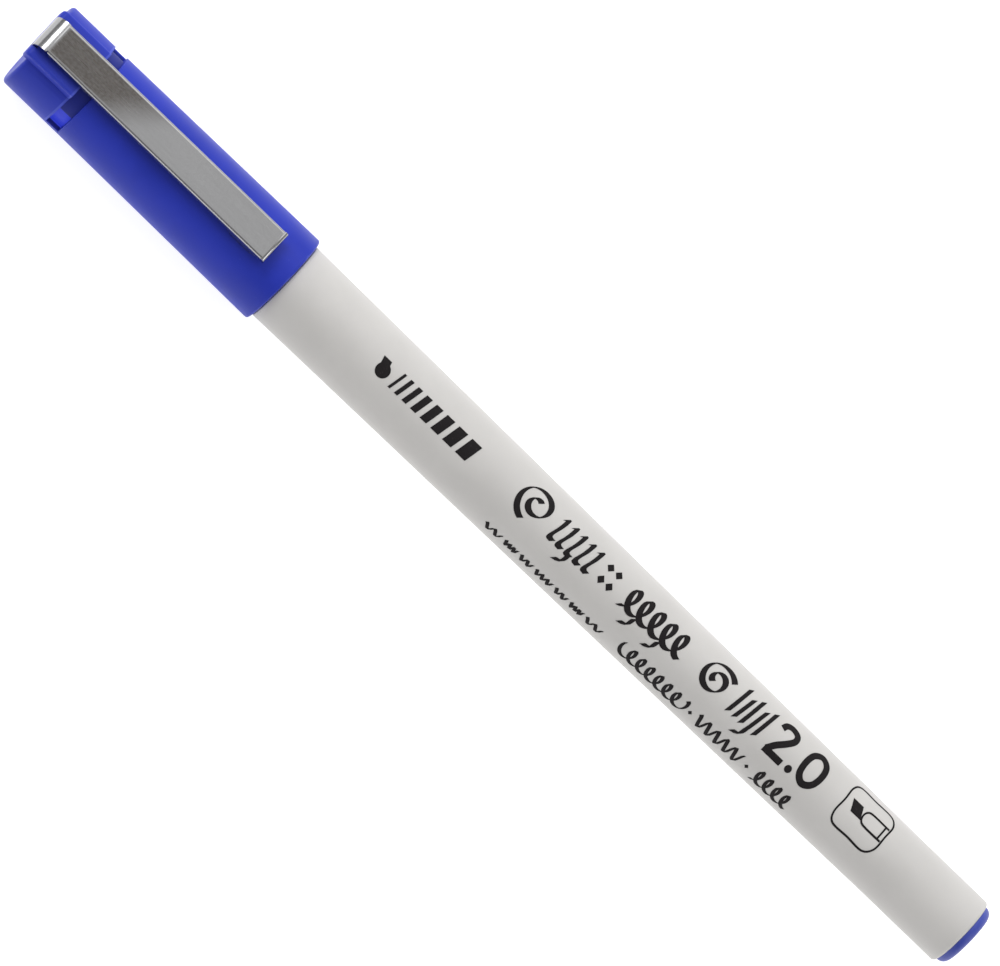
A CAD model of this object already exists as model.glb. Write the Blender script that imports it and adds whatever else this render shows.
"""A capped calligraphy marker: its visible pieces, finishes, print, studio light and camera.

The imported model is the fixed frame. Sizes are millimetres in the pen's own terms: a station is
the distance from the end of the cap, a radius is from the pen's axis, and an angle is measured
round the axis from the clip's side.
"""
import logging
import math
from contextlib import contextmanager
from dataclasses import dataclass, field
from enum import Enum
from typing import Callable, Iterator, Sequence

import bmesh
import bpy
from mathutils import Matrix, Vector


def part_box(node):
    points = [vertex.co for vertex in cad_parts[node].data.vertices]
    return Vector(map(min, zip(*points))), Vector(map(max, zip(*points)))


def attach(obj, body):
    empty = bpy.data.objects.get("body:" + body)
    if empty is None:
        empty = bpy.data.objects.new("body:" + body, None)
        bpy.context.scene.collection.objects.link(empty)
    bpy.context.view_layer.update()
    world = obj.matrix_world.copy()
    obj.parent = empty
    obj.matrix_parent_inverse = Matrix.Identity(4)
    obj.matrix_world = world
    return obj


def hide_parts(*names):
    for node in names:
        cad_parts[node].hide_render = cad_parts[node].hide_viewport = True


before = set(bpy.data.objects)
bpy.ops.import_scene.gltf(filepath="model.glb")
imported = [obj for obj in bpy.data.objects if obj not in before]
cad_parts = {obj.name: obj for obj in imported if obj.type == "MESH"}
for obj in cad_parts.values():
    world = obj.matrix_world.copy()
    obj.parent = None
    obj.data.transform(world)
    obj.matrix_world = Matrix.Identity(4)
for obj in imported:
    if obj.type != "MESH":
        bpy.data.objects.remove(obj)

MM = 0.001
MERGE_GAP = 5e-7
SLIVER_GAP = 1e-5
FLAT_ANGLE = 0.5
TURN_SEGMENTS = 120
ROUND_STEPS = 6
SECTOR_STEP = 3.0
LOG = logging.getLogger("marker")

Point2 = tuple[float, float]
Paint = tuple[float, float, float, float]


# ------------------------------------------------------------------ where the pen lies


@dataclass(frozen=True)
class PenLine:
    """The pen's line in the frame: where the cap ends and how high the axis lies, in metres."""

    cap_end: float
    height: float

    @classmethod
    def read(cls) -> "PenLine":
        """Reads the line from the boxes of the crown and the barrel."""
        crown_low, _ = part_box("cap_crown")
        barrel_low, barrel_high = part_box("barrel")
        return cls(crown_low.x, (barrel_low.z + barrel_high.z) / 2)

    def at(self, station: float, across: float = 0.0, up: float = 0.0) -> Vector:
        """The frame point at a station, so far across and so far above the axis."""
        return Vector((self.cap_end + station * MM, across * MM, self.height + up * MM))

    def spot(self, point: Vector) -> "Spot":
        """The pen's own reading of a frame point."""
        offset = (point - self.at(0.0)) / MM
        return Spot(offset.x, offset.y, offset.z)


@dataclass(frozen=True)
class Spot:
    """A point in the pen's terms: station, distance across and height above the axis."""

    station: float
    across: float
    up: float

    @property
    def radius(self) -> float:
        """Distance from the pen's axis."""
        return math.hypot(self.across, self.up)

    @property
    def angle(self) -> float:
        """Degrees round the axis from the clip's side, without a sign."""
        return abs(math.degrees(math.atan2(self.across, self.up)))


PEN = PenLine.read()


# ------------------------------------------------------------------ bench tools


class Element(Enum):
    """What a selection is made of; the value is the mesh's own name for its list."""

    VERT = "verts"
    EDGE = "edges"
    FACE = "faces"


@dataclass(frozen=True)
class Corner:
    """A corner of a turned outline: its station, its radius and how far it is rounded."""

    station: float
    radius: float
    rounding: float = 0.0


def rounded(corners: Sequence[Corner]) -> list[Point2]:
    """Follows an outline and rounds its corners with arcs.

    Args:
        corners: The outline's corners in order; the first and last stay sharp.

    Returns:
        The (station, radius) points of the outline.
    """
    points: list[Point2] = [(corners[0].station, corners[0].radius)]
    for before, here, after in zip(corners, corners[1:], corners[2:]):
        corner = Vector((here.station, here.radius))
        if here.rounding == 0.0:
            points.append((corner.x, corner.y))
            continue
        back = (Vector((before.station, before.radius)) - corner).normalized()
        on = (Vector((after.station, after.radius)) - corner).normalized()
        half = back.angle(on) / 2
        centre = corner + (back + on).normalized() * here.rounding / math.sin(half)
        reach = here.rounding / math.tan(half)
        first = corner + back * reach - centre
        sweep = first.angle_signed(corner + on * reach - centre)
        for step in range(ROUND_STEPS + 1):
            spoke = Matrix.Rotation(-sweep * step / ROUND_STEPS, 2) @ first
            points.append((centre.x + spoke.x, centre.y + spoke.y))
    points.append((corners[-1].station, corners[-1].radius))
    return points


class Bench:
    """The hand tools that every piece is made with."""

    @staticmethod
    def clear() -> None:
        """Puts everything down, so that the next tool acts on its own piece only."""
        if bpy.context.mode != "OBJECT":
            bpy.ops.object.mode_set(mode="OBJECT")
        bpy.ops.object.select_all(action="DESELECT")

    @staticmethod
    def take(*pieces: bpy.types.Object) -> None:
        """Selects these pieces alone and makes the first one active."""
        Bench.clear()
        for piece in pieces:
            piece.select_set(True)
        bpy.context.view_layer.objects.active = pieces[0]

    @staticmethod
    def settle(piece: bpy.types.Object) -> None:
        """Moves the piece's place into its mesh, so that its object sits at the origin."""
        Bench.take(piece)
        bpy.ops.object.transform_apply(location=True, rotation=True, scale=True)

    @staticmethod
    def started(name: str) -> bpy.types.Object:
        """Names the primitive that was just added and settles it."""
        piece = bpy.context.object
        piece.name = name
        piece.data.name = name
        Bench.settle(piece)
        return piece

    @staticmethod
    @contextmanager
    def editing(piece: bpy.types.Object) -> Iterator[None]:
        """Opens the piece in edit mode and closes it again."""
        Bench.take(piece)
        bpy.ops.object.mode_set(mode="EDIT")
        try:
            yield
        finally:
            bpy.ops.object.mode_set(mode="OBJECT")

    @staticmethod
    def pick(piece: bpy.types.Object, element: Element, test: Callable[[Spot], bool]) -> None:
        """Selects the points, edges or faces of an open piece by their place.

        Args:
            piece: The piece that is open in edit mode.
            element: What to select.
            test: Says of a centre, in the pen's terms, if its element is wanted.
        """
        bpy.ops.mesh.select_mode(type=element.name)
        bpy.ops.mesh.select_all(action="DESELECT")
        mesh = bmesh.from_edit_mesh(piece.data)
        found = False
        for item in getattr(mesh, element.value):
            corners = [item.co] if element is Element.VERT else [v.co for v in item.verts]
            centre = sum(corners, Vector()) / len(corners)
            if test(PEN.spot(centre)):
                item.select_set(True)
                found = True
        bmesh.update_edit_mesh(piece.data)
        if not found:
            raise ValueError(f"nothing of {piece.name} lies where it was looked for")

    @staticmethod
    def close(piece: bpy.types.Object) -> None:
        """Merges the doubles of an open piece and turns its faces outwards."""
        bpy.ops.mesh.select_all(action="SELECT")
        bpy.ops.mesh.remove_doubles(threshold=MERGE_GAP)
        bpy.ops.mesh.normals_make_consistent(inside=False)

    @staticmethod
    def turn(name: str, corners: Sequence[Corner], segments: int = TURN_SEGMENTS) -> bpy.types.Object:
        """Turns a piece on the pen's axis, ring by ring along its outline.

        Args:
            name: The piece's name.
            corners: The outline. It either comes back to its first corner or has a flat end
                at each end, which is then filled.
            segments: Faces round the axis.

        Returns:
            The turned piece.
        """
        points = rounded(corners)
        station, radius = points[0]
        Bench.clear()
        bpy.ops.mesh.primitive_circle_add(
            vertices=segments, radius=radius * MM, location=PEN.at(station),
            rotation=(0.0, math.pi / 2, 0.0))
        piece = Bench.started(name)
        closed = points[0] == points[-1]
        with Bench.editing(piece):
            bpy.ops.mesh.select_all(action="SELECT")
            if not closed:
                bpy.ops.mesh.edge_face_add()
                bpy.ops.mesh.select_mode(type="EDGE")
            for (s0, r0), (s1, r1) in zip(points, points[1:]):
                bpy.ops.mesh.extrude_edges_move(
                    TRANSFORM_OT_translate={"value": ((s1 - s0) * MM, 0.0, 0.0)})
                bpy.ops.transform.resize(
                    value=(1.0, r1 / r0, r1 / r0), center_override=PEN.at(s1))
            if not closed:
                bpy.ops.mesh.edge_face_add()
            Bench.close(piece)
        return piece

    @staticmethod
    def block(name: str, low: Spot, high: Spot) -> bpy.types.Object:
        """Adds a block between two corners given in the pen's terms."""
        near = PEN.at(low.station, low.across, low.up)
        far = PEN.at(high.station, high.across, high.up)
        Bench.clear()
        bpy.ops.mesh.primitive_cube_add(size=1.0, location=(near + far) / 2, scale=far - near)
        return Bench.started(name)

    @staticmethod
    def sector(name: str, stations: Point2, radii: Point2, angles: Point2) -> bpy.types.Object:
        """Sweeps a ring-shaped cutter round part of the pen's axis.

        Args:
            name: The cutter's name.
            stations: Where it starts and ends along the pen.
            radii: Its inner and outer radius.
            angles: Its first and last angle from the clip's side, in degrees.

        Returns:
            The cutter, as a closed piece.
        """
        span = math.radians(angles[1] - angles[0])
        middle = PEN.at(sum(stations) / 2, 0.0, sum(radii) / 2)
        Bench.clear()
        bpy.ops.mesh.primitive_plane_add(size=1.0, location=middle, rotation=(math.pi / 2, 0.0, 0.0))
        plane = bpy.context.object
        plane.scale = ((stations[1] - stations[0]) * MM, (radii[1] - radii[0]) * MM, 1.0)
        piece = Bench.started(name)
        turn = Matrix.Rotation(-math.radians(angles[0]), 4, "X")
        piece.data.transform(Matrix.Translation(PEN.at(0)) @ turn @ Matrix.Translation(-PEN.at(0)))
        with Bench.editing(piece):
            bpy.ops.mesh.select_all(action="SELECT")
            bpy.ops.mesh.spin(
                steps=round(math.degrees(span) / SECTOR_STEP), angle=span,
                center=PEN.at(0), axis=(1.0, 0.0, 0.0))
            Bench.close(piece)
        return piece

    @staticmethod
    def combine(piece: bpy.types.Object, other: bpy.types.Object, operation: str) -> None:
        """Cuts the other piece out of this one, or adds it, and removes the other piece.

        Args:
            piece: The piece that stays.
            other: The piece that is used up.
            operation: DIFFERENCE or UNION.
        """
        Bench.take(piece)
        boolean = piece.modifiers.new("combine", "BOOLEAN")
        boolean.operation = operation
        boolean.object = other
        boolean.solver = "EXACT"
        bpy.ops.object.modifier_apply(modifier=boolean.name)
        bpy.data.objects.remove(other)

    @staticmethod
    def merge_flats(piece: bpy.types.Object) -> None:
        """Clears the slivers that cutting leaves and joins the parts of each flat face."""
        with Bench.editing(piece):
            bpy.ops.mesh.select_all(action="SELECT")
            bpy.ops.mesh.remove_doubles(threshold=SLIVER_GAP)
            bpy.ops.mesh.dissolve_degenerate(threshold=SLIVER_GAP)
            bpy.ops.mesh.dissolve_limited(angle_limit=math.radians(FLAT_ANGLE))
            bpy.ops.mesh.normals_make_consistent(inside=False)

    @staticmethod
    def soften(piece: bpy.types.Object, width: float, over: float = 40.0, steps: int = 2) -> None:
        """Bevels every edge that is sharper than an angle.

        Args:
            piece: The piece to soften.
            width: Width of the bevel in millimetres.
            over: Angle in degrees above which an edge is bevelled.
            steps: Segments of the bevel.
        """
        Bench.take(piece)
        bevel = piece.modifiers.new("soften", "BEVEL")
        bevel.width = width * MM
        bevel.segments = steps
        bevel.limit_method = "ANGLE"
        bevel.angle_limit = math.radians(over)
        bevel.miter_outer = "MITER_ARC"
        bpy.ops.object.modifier_apply(modifier=bevel.name)

    @staticmethod
    def smooth(piece: bpy.types.Object, angle: float = 32.0) -> None:
        """Shades the piece smooth, except across edges sharper than the angle."""
        Bench.take(piece)
        bpy.ops.object.shade_smooth_by_angle(angle=math.radians(angle))

    @staticmethod
    def keep_flats(piece: bpy.types.Object) -> None:
        """Lets broad flat faces keep their own normals beside rounded edges."""
        Bench.take(piece)
        weighted = piece.modifiers.new("flats", "WEIGHTED_NORMAL")
        weighted.keep_sharp = True
        weighted.weight = 100
        bpy.ops.object.modifier_apply(modifier=weighted.name)


def dress(piece: bpy.types.Object, body: str, finish: bpy.types.Material,
          stands_for: Sequence[str] = ()) -> None:
    """Gives a finished piece its material, body, slot and the CAD nodes that it stands for.

    Args:
        piece: The finished piece.
        body: The CAD body that it rides on.
        finish: Its material.
        stands_for: The CAD nodes that it replaces.
    """
    piece.data.materials.clear()
    piece.data.materials.append(finish)
    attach(piece, body)
    if stands_for:
        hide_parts(*stands_for)
    LOG.info("%s: %d faces, rides on %s", piece.name, len(piece.data.polygons), body)


# ------------------------------------------------------------------ finishes


class Mixer:
    """Adds nodes to one node tree and wires them."""

    def __init__(self, tree: bpy.types.NodeTree) -> None:
        """Takes the tree that is to be filled."""
        self.tree = tree

    def add(self, kind: str, inputs: dict[str, object] | None = None,
            **settings: object) -> bpy.types.Node:
        """Adds a node.

        Args:
            kind: The node's type, without its ShaderNode prefix.
            inputs: Values or output sockets for its input sockets, by name or number.
            settings: Values for its own properties.

        Returns:
            The new node.
        """
        node = self.tree.nodes.new("ShaderNode" + kind)
        for name, value in settings.items():
            setattr(node, name, value)
        for name, value in (inputs or {}).items():
            if isinstance(value, bpy.types.NodeSocket):
                self.tree.links.new(value, node.inputs[name])
            else:
                node.inputs[name].default_value = value
        return node

    def noise(self, vector: bpy.types.NodeSocket, scale: float | bpy.types.NodeSocket,
              detail: float = 3.0, roughness: float = 0.55) -> bpy.types.NodeSocket:
        """Adds a noise texture and gives its value."""
        inputs = {"Vector": vector, "Scale": scale, "Detail": detail, "Roughness": roughness}
        return self.add("TexNoise", inputs).outputs["Fac"]

    def map(self, value: bpy.types.NodeSocket, low: float, high: float,
            to_low: float = 0.0, to_high: float = 1.0) -> bpy.types.NodeSocket:
        """Maps a value smoothly from one range to another."""
        inputs = {"Value": value, "From Min": low, "From Max": high,
                  "To Min": to_low, "To Max": to_high}
        return self.add("MapRange", inputs, interpolation_type="SMOOTHSTEP").outputs["Result"]

    def math(self, operation: str, first: object, second: object = 0.0) -> bpy.types.NodeSocket:
        """Adds a sum, product or other operation on two values."""
        return self.add("Math", {0: first, 1: second}, operation=operation).outputs[0]

    def mix(self, factor: object, first: object, second: object) -> bpy.types.NodeSocket:
        """Mixes two colours by a factor."""
        node = self.add("Mix", data_type="RGBA")
        for socket, value in ((0, factor), (6, first), (7, second)):
            if isinstance(value, bpy.types.NodeSocket):
                self.tree.links.new(value, node.inputs[socket])
            else:
                node.inputs[socket].default_value = value
        return node.outputs[2]

    def place(self, stretch: Sequence[float] = (1.0, 1.0, 1.0)) -> bpy.types.NodeSocket:
        """Object coordinates, stretched along the pen's axes."""
        coordinates = self.add("TexCoord").outputs["Object"]
        return self.add("Mapping", {"Vector": coordinates, "Scale": stretch}).outputs["Vector"]


def colour(red: float, green: float, blue: float) -> Paint:
    """A linear colour with full alpha."""
    return (red, green, blue, 1.0)


class EffectGroups:
    """Effects that several finishes share, each a node group that is built once.

    The stretches draw a pattern out along the pen; the scales are noise cells per metre, roughly.
    """

    FLOW_STRETCH = (0.06, 1.0, 1.0)
    FLOW_SCALE = 1600.0
    CLOUD_SCALE = 130.0
    CLOUD_RANGE = (0.3, 0.7)
    SCRATCH_STRETCH = (0.05, 1.0, 1.0)
    SCRATCH_RANGE = (0.63, 0.70)
    PATCH_SCALE = 210.0
    PATCH_RANGE = (0.48, 0.62)
    DUST_RANGE = (0.74, 0.80)

    @staticmethod
    def _start(name: str, inputs: dict[str, float], outputs: Sequence[str]) -> tuple:
        """Starts a group with float sockets.

        Args:
            name: The group's name.
            inputs: Names and default values of its inputs.
            outputs: Names of its outputs.

        Returns:
            The group, a mixer on it, its input node and its output node.
        """
        group = bpy.data.node_groups.new(name, "ShaderNodeTree")
        for socket, value in inputs.items():
            made = group.interface.new_socket(socket, in_out="INPUT", socket_type="NodeSocketFloat")
            made.default_value = value
        for socket in outputs:
            group.interface.new_socket(socket, in_out="OUTPUT", socket_type="NodeSocketFloat")
        entry = group.nodes.new("NodeGroupInput")
        leave = group.nodes.new("NodeGroupOutput")
        return group, Mixer(group), entry, leave

    @classmethod
    def moulded_skin(cls) -> bpy.types.NodeTree:
        """The skin of a moulded plastic: fine grain, slow mottling and flow lines along the pen."""
        name = "moulded_skin"
        if name in bpy.data.node_groups:
            return bpy.data.node_groups[name]
        group, mixer, entry, leave = cls._start(
            name, {"Grain Scale": 9000.0, "Flow": 0.5}, ("Height", "Tone"))
        still = mixer.place()
        flow = mixer.place(cls.FLOW_STRETCH)
        grain = mixer.noise(still, entry.outputs["Grain Scale"], 2.0, 0.5)
        lines = mixer.math("MULTIPLY", mixer.noise(flow, cls.FLOW_SCALE, 2.0), entry.outputs["Flow"])
        cloud = mixer.noise(still, cls.CLOUD_SCALE, 4.0, 0.6)
        group.links.new(mixer.math("ADD", grain, lines), leave.inputs["Height"])
        group.links.new(mixer.map(cloud, *cls.CLOUD_RANGE), leave.inputs["Tone"])
        return group

    @classmethod
    def handling(cls) -> bpy.types.NodeTree:
        """Light handling marks: hair scratches that run mostly along the pen, and dust specks."""
        name = "handling"
        if name in bpy.data.node_groups:
            return bpy.data.node_groups[name]
        group, mixer, entry, leave = cls._start(
            name, {"Scratch Scale": 900.0, "Dust Scale": 2600.0}, ("Scratches", "Dust"))
        long_way = mixer.place(cls.SCRATCH_STRETCH)
        fine = mixer.noise(long_way, entry.outputs["Scratch Scale"], 5.0, 0.7)
        patches = mixer.noise(mixer.place(), cls.PATCH_SCALE, 2.0)
        thin = mixer.map(fine, *cls.SCRATCH_RANGE)
        where = mixer.map(patches, *cls.PATCH_RANGE)
        group.links.new(mixer.math("MULTIPLY", thin, where), leave.inputs["Scratches"])
        specks = mixer.noise(mixer.place(), entry.outputs["Dust Scale"], 1.0)
        group.links.new(mixer.map(specks, *cls.DUST_RANGE), leave.inputs["Dust"])
        return group

    @classmethod
    def edge_light(cls) -> bpy.types.NodeTree:
        """How sharp and outward an edge is: thin moulded edges look paler and more worn."""
        name = "edge_light"
        if name in bpy.data.node_groups:
            return bpy.data.node_groups[name]
        group, mixer, entry, leave = cls._start(name, {"Start": 0.52, "Full": 0.62}, ("Mask",))
        pointed = mixer.add("NewGeometry").outputs["Pointiness"]
        inputs = {"Value": pointed, "From Min": entry.outputs["Start"],
                  "From Max": entry.outputs["Full"]}
        ramp = mixer.add("MapRange", inputs)
        group.links.new(ramp.outputs["Result"], leave.inputs["Mask"])
        return group


@dataclass(frozen=True)
class Finish:
    """What every finish has: a name and a Principled shader with its plain values."""

    name: str
    base: Paint
    roughness: float

    def shade(self, share: float) -> Paint:
        """The base colour, so many times as bright."""
        return colour(*(part * share for part in self.base[:3]))

    def start(self) -> tuple[bpy.types.Material, Mixer, bpy.types.Node]:
        """Makes the material and gives it, its mixer and its shader."""
        material = bpy.data.materials.new(self.name)
        material.use_nodes = True
        shader = material.node_tree.nodes["Principled BSDF"]
        shader.inputs["Base Color"].default_value = self.base
        shader.inputs["Roughness"].default_value = self.roughness
        return material, Mixer(material.node_tree), shader

    @staticmethod
    def effect(mixer: Mixer, group: bpy.types.NodeTree, **inputs: float) -> bpy.types.Node:
        """Places a shared effect with its own values; underscores stand for spaces."""
        node = mixer.add("Group", node_tree=group)
        for name, value in inputs.items():
            node.inputs[name.replace("_", " ").title()].default_value = value
        return node

    @staticmethod
    def bump(mixer: Mixer, shader: bpy.types.Node, height: bpy.types.NodeSocket,
             depth: float, strength: float) -> None:
        """Bumps the shader's normal by a height, with the depth in millimetres."""
        inputs = {"Height": height, "Distance": depth * MM, "Strength": strength}
        node = mixer.add("Bump", inputs)
        mixer.tree.links.new(node.outputs["Normal"], shader.inputs["Normal"])


@dataclass(frozen=True)
class MouldedPlastic(Finish):
    """A satin moulded plastic with grain, mottling, hair scratches and paler edges."""

    pale: Paint = colour(1.0, 1.0, 1.0)
    tone_depth: float = 0.10
    grain_scale: float = 9000.0
    grain_depth: float = 0.004
    edge_paleness: float = 0.25
    gloss: float = 0.5
    roughness_swing: float = 0.04
    scratch_paleness: float = 0.06
    scratch_roughness: float = 0.15
    dust: Paint = colour(0.75, 0.74, 0.72)
    dust_cover: float = 0.015
    grain_strength: float = 0.35

    def make(self) -> bpy.types.Material:
        """Builds the material.

        Returns:
            The finished material.
        """
        material, mixer, shader = self.start()
        skin = self.effect(mixer, EffectGroups.moulded_skin(), grain_scale=self.grain_scale)
        marks = self.effect(mixer, EffectGroups.handling())
        edges = self.effect(mixer, EffectGroups.edge_light())
        dark, light = self.shade(1.0 - self.tone_depth), self.shade(1.0 + self.tone_depth)
        body = mixer.mix(skin.outputs["Tone"], dark, light)
        edge = mixer.math("MULTIPLY", edges.outputs["Mask"], self.edge_paleness)
        body = mixer.mix(edge, body, self.pale)
        scratch = mixer.math("MULTIPLY", marks.outputs["Scratches"], self.scratch_paleness)
        body = mixer.mix(scratch, body, self.pale)
        dust = mixer.math("MULTIPLY", marks.outputs["Dust"], self.dust_cover)
        body = mixer.mix(dust, body, self.dust)
        mixer.tree.links.new(body, shader.inputs["Base Color"])
        rough = mixer.map(skin.outputs["Tone"], 0.0, 1.0, self.roughness - self.roughness_swing,
                          self.roughness + self.roughness_swing)
        worn = mixer.math("MULTIPLY", marks.outputs["Scratches"], self.scratch_roughness)
        rough = mixer.math("ADD", rough, worn)
        mixer.tree.links.new(rough, shader.inputs["Roughness"])
        self.bump(mixer, shader, skin.outputs["Height"], self.grain_depth, self.grain_strength)
        shader.inputs["Specular IOR Level"].default_value = self.gloss
        return material


@dataclass(frozen=True)
class VentedPlastic(MouldedPlastic):
    """Moulded plastic whose thin vent windows let light through."""

    window_stations: Point2 = (6.9, 8.55)
    window_radius: float = 4.95
    recess_radius: float = 5.30
    rim_stations: Point2 = (6.60, 6.87)
    lit: Paint = colour(0.022, 0.033, 0.42)
    lit_scale: float = 900.0
    rim_paleness: float = 0.4
    recess_shade: float = 0.55

    @staticmethod
    def between(mixer: Mixer, along: bpy.types.NodeSocket, stations: Point2) -> bpy.types.NodeSocket:
        """One between two stations and nothing elsewhere."""
        after = mixer.math("GREATER_THAN", along, stations[0] * MM)
        return mixer.math("MULTIPLY", after, mixer.math("LESS_THAN", along, stations[1] * MM))

    def make(self) -> bpy.types.Material:
        """Builds the material.

        Returns:
            The finished material.
        """
        material = super().make()
        mixer = Mixer(material.node_tree)
        shader = material.node_tree.nodes["Principled BSDF"]
        away = tuple(-part for part in PEN.at(0.0))
        coordinates = mixer.add("TexCoord").outputs["Object"]
        local = mixer.add("VectorMath", {0: coordinates, 1: away}, operation="ADD").outputs["Vector"]
        axes = mixer.add("SeparateXYZ", {"Vector": local}).outputs
        squares = mixer.math("ADD", mixer.math("MULTIPLY", axes["Y"], axes["Y"]),
                             mixer.math("MULTIPLY", axes["Z"], axes["Z"]))
        band = self.between(mixer, axes["X"], self.window_stations)
        recess_square = (self.recess_radius * MM) ** 2
        deep = mixer.math("LESS_THAN", squares, (self.window_radius * MM) ** 2)
        window = mixer.math("MULTIPLY", band, deep)
        cloud = mixer.map(mixer.noise(mixer.place(), self.lit_scale, 3.0), 0.3, 0.7, 0.85, 1.0)
        light = mixer.mix(mixer.math("MULTIPLY", window, cloud), colour(0.0, 0.0, 0.0), self.lit)
        sunk = mixer.math("LESS_THAN", squares, recess_square)
        recess = mixer.math("MULTIPLY", band, sunk)
        proud = mixer.math("GREATER_THAN", squares, recess_square)
        rim = mixer.math("MULTIPLY", self.between(mixer, axes["X"], self.rim_stations), proud)
        body = shader.inputs["Base Color"].links[0].from_socket
        body = mixer.mix(mixer.math("MULTIPLY", rim, self.rim_paleness), body, self.pale)
        body = mixer.mix(recess, body, self.shade(self.recess_shade))
        mixer.tree.links.new(body, shader.inputs["Base Color"])
        mixer.tree.links.new(light, shader.inputs["Emission Color"])
        shader.inputs["Emission Strength"].default_value = 1.0
        return material


@dataclass(frozen=True)
class PlatedSteel(Finish):
    """Bright plated spring steel, rolled along its length and dulled where it was bent."""

    haze: Paint = colour(0.11, 0.10, 0.092)
    haze_start: float = 1.9
    haze_end: float = 9.5
    haze_run: float = 6.5
    haze_slant: float = 1.2
    haze_wander: float = 1.6
    haze_fade: float = 0.4
    shoulder: Point2 = (1.58, 1.72)
    shoulder_haze: float = 0.15
    grain_scale: float = 3600.0
    wander_scale: float = 420.0
    roll_scale: float = 5200.0
    roll_stretch: tuple[float, float, float] = (0.03, 1.0, 1.0)
    speckle_shade: float = 0.95

    def make(self) -> bpy.types.Material:
        """Builds the material.

        Returns:
            The finished material.
        """
        material, mixer, shader = self.start()
        shader.inputs["Metallic"].default_value = 1.0
        coordinates = mixer.add("TexCoord").outputs["Object"]
        axes = mixer.add("SeparateXYZ", {"Vector": coordinates}).outputs
        slant = mixer.math("MULTIPLY", axes["Y"], -self.haze_slant)
        along = mixer.math("ADD", axes["X"], slant)
        grain = mixer.noise(mixer.place((0.8, 1.0, 1.0)), self.grain_scale, 4.0, 0.7)
        wander = mixer.noise(mixer.place((0.6, 1.0, 1.0)), self.wander_scale, 3.0)
        ripple = mixer.math("MULTIPLY", mixer.math("SUBTRACT", wander, 0.5), self.haze_wander * MM)
        start = PEN.at(self.haze_end).x
        formed = mixer.map(
            mixer.math("ADD", along, ripple), start, start + self.haze_run * MM, 1.0, 0.0)
        bent = PEN.at(self.haze_start).x
        formed = mixer.math("MULTIPLY", formed, mixer.map(
            axes["X"], bent - self.haze_fade * MM, bent, 0.0, 1.0))
        inner, outer = self.shoulder
        across = mixer.math("ABSOLUTE", axes["Y"])
        formed = mixer.math("MULTIPLY", formed, mixer.map(
            across, inner * MM, outer * MM, 1.0, self.shoulder_haze))
        speckle = mixer.map(grain, 0.35, 0.7, 0.8, 1.0)
        bright = mixer.mix(mixer.map(grain, 0.3, 0.7), self.shade(self.speckle_shade), self.base)
        tint = mixer.mix(mixer.math("MULTIPLY", formed, speckle), bright, self.haze)
        mixer.tree.links.new(tint, shader.inputs["Base Color"])
        rolled = mixer.noise(mixer.place(self.roll_stretch), self.roll_scale, 3.0)
        rough = mixer.map(rolled, 0.3, 0.7, self.roughness - 0.03, self.roughness + 0.05)
        rough = mixer.math("ADD", rough, mixer.math("MULTIPLY", formed, 0.05))
        mixer.tree.links.new(rough, shader.inputs["Roughness"])
        relief = mixer.math("ADD", rolled, mixer.math("MULTIPLY", grain, formed))
        self.bump(mixer, shader, relief, 0.003, 0.12)
        return material


@dataclass(frozen=True)
class PrintInk(Finish):
    """Black pad-print ink with a slightly uneven film."""

    gloss: float = 0.2
    film_scale: float = 3800.0
    thin_paint: float = 2.6
    thin_glow: float = 0.004

    def make(self) -> bpy.types.Material:
        """Builds the material.

        Returns:
            The finished material.
        """
        material, mixer, shader = self.start()
        shader.inputs["Specular IOR Level"].default_value = self.gloss
        film = mixer.noise(mixer.place(), self.film_scale, 3.0, 0.6)
        thin = colour(*(part + self.thin_glow for part in self.shade(self.thin_paint)[:3]))
        tint = mixer.mix(mixer.map(film, 0.55, 0.8), self.base, thin)
        mixer.tree.links.new(tint, shader.inputs["Base Color"])
        rough = mixer.map(film, 0.3, 0.7, self.roughness - 0.06, self.roughness + 0.08)
        mixer.tree.links.new(rough, shader.inputs["Roughness"])
        self.bump(mixer, shader, film, 0.003, 0.3)
        return material


@dataclass(frozen=True)
class BondedFibre(Finish):
    """Bonded fibre that carries ink: strands along the pen, wetter in places."""

    wet: Paint = colour(0.004, 0.006, 0.03)
    wet_gloss: float = 0.25
    strand_scale: float = 14000.0
    strand_stretch: tuple[float, float, float] = (0.04, 1.0, 1.0)
    soak_scale: float = 420.0

    def make(self) -> bpy.types.Material:
        """Builds the material.

        Returns:
            The finished material.
        """
        material, mixer, shader = self.start()
        strands = mixer.noise(mixer.place(self.strand_stretch), self.strand_scale, 3.0, 0.6)
        soak = mixer.noise(mixer.place(), self.soak_scale, 3.0)
        tint = mixer.mix(mixer.map(strands, 0.35, 0.65), self.wet, self.base)
        tint = mixer.mix(mixer.map(soak, 0.45, 0.7), tint, self.wet)
        mixer.tree.links.new(tint, shader.inputs["Base Color"])
        rough = mixer.map(soak, 0.4, 0.7, self.roughness, self.roughness - self.wet_gloss)
        mixer.tree.links.new(rough, shader.inputs["Roughness"])
        self.bump(mixer, shader, strands, 0.03, 0.8)
        return material


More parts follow.
